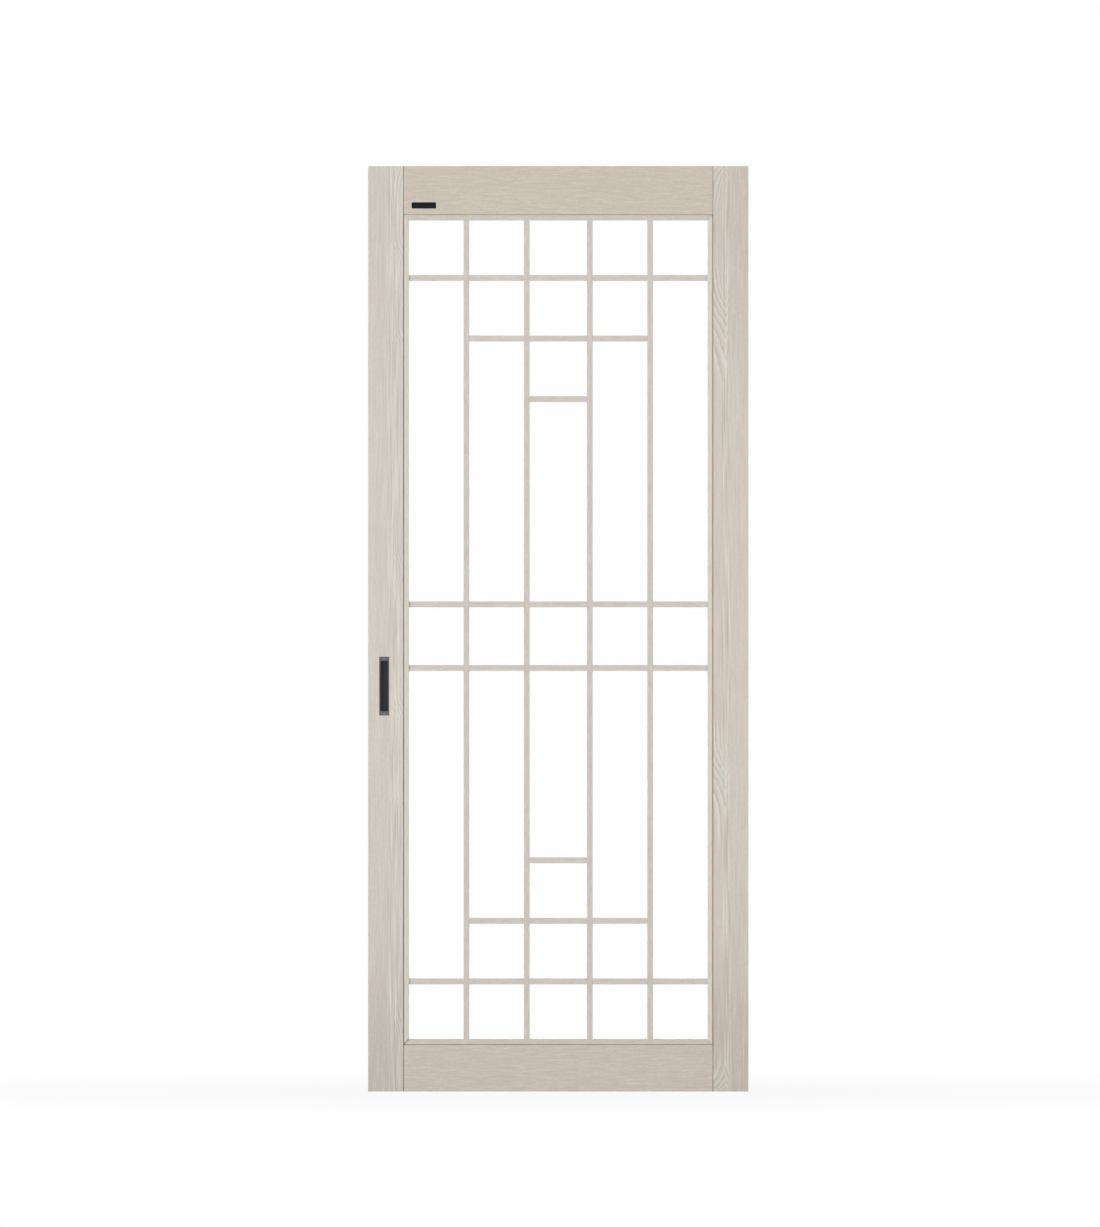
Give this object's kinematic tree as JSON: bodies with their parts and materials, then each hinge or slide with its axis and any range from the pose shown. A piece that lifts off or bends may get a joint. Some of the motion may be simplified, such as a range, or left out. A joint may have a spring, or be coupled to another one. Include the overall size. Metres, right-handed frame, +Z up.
{
  "type": "lattice sliding door",
  "caption": "Sliding door leaf: a wood-grain stile-and-rail frame holds clear glass between bevelled beads, with a thin lattice on both faces, flush pulls, floor rollers and head guides.",
  "frame": {"origin": "middle of the leaf's bottom edge", "axes": "+Z up, +X from the pull stile to the other stile, +Y through the leaf from its front to its back"},
  "size_m": [0.863, 0.0372, 2.1],
  "materials": {
    "upright_grain_film": "matt greige wood-grain film, grain upright",
    "level_grain_film": "matt greige wood-grain film, grain level",
    "clear_glass": "clear float glass",
    "dowel_wood": "plain beech",
    "glazing_tape": "closed-cell foam tape",
    "block_rubber": "matt black rubber",
    "pull_metal": "satin anthracite",
    "plate_metal": "satin dark navy, blank",
    "zinc_steel": "zinc plated",
    "nylon": "natural moulded nylon",
    "bush_bronze": "sintered bronze"
  },
  "bodies": {
    "leaf": {"back_bottom_bead": "level_grain_film", "back_crossbar_1": "level_grain_film", "back_crossbar_2": "level_grain_film", "back_crossbar_3": "level_grain_film", "back_crossbar_4": "level_grain_film", "back_crossbar_5": "level_grain_film", "back_crossbar_6": "level_grain_film", "back_crossbar_7": "level_grain_film", "back_crossbar_8": "level_grain_film", "back_glazing_tape": "glazing_tape", "back_left_bead": "upright_grain_film", "back_pull": "pull_metal", "back_pull_screws": "zinc_steel", "back_right_bead": "upright_grain_film", "back_top_bead": "level_grain_film", "back_upright_1": "upright_grain_film", "back_upright_2": "upright_grain_film", "back_upright_3": "upright_grain_film", "back_upright_4": "upright_grain_film", "blank_plate": "plate_metal", "bottom_rail": "level_grain_film", "bottom_rail_dowels": "dowel_wood", "front_bottom_bead": "level_grain_film", "front_crossbar_1": "level_grain_film", "front_crossbar_2": "level_grain_film", "front_crossbar_3": "level_grain_film", "front_crossbar_4": "level_grain_film", "front_crossbar_5": "level_grain_film", "front_crossbar_6": "level_grain_film", "front_crossbar_7": "level_grain_film", "front_crossbar_8": "level_grain_film", "front_glazing_tape": "glazing_tape", "front_left_bead": "upright_grain_film", "front_pull": "pull_metal", "front_pull_screws": "zinc_steel", "front_right_bead": "upright_grain_film", "front_top_bead": "level_grain_film", "front_upright_1": "upright_grain_film", "front_upright_2": "upright_grain_film", "front_upright_3": "upright_grain_film", "front_upright_4": "upright_grain_film", "glass_pane": "clear_glass", "guide_shoe_screws": "zinc_steel", "left_guide_shoe": "nylon", "left_roller_axle": "zinc_steel", "left_roller_case": "zinc_steel", "left_roller_screws": "zinc_steel", "left_stile": "upright_grain_film", "right_guide_shoe": "nylon", "right_roller_axle": "zinc_steel", "right_roller_case": "zinc_steel", "right_roller_screws": "zinc_steel", "right_stile": "upright_grain_film", "setting_blocks": "block_rubber", "top_rail": "level_grain_film", "top_rail_dowels": "dowel_wood"},
    "left_wheel": {"left_roller_wheel": "nylon", "left_roller_bush": "bush_bronze"},
    "right_wheel": {"right_roller_wheel": "nylon", "right_roller_bush": "bush_bronze"}
  },
  "joints": [
    {"name": "left_wheel_spin", "type": "hinge", "parent": "leaf", "child": "left_wheel", "pos_m": [-0.3915, 0, 0.021], "axis": [0, 1, 0], "continuous": true},
    {"name": "right_wheel_spin", "type": "hinge", "parent": "leaf", "child": "right_wheel", "pos_m": [0.3915, 0, 0.021], "axis": [0, 1, 0], "continuous": true}
  ]
}
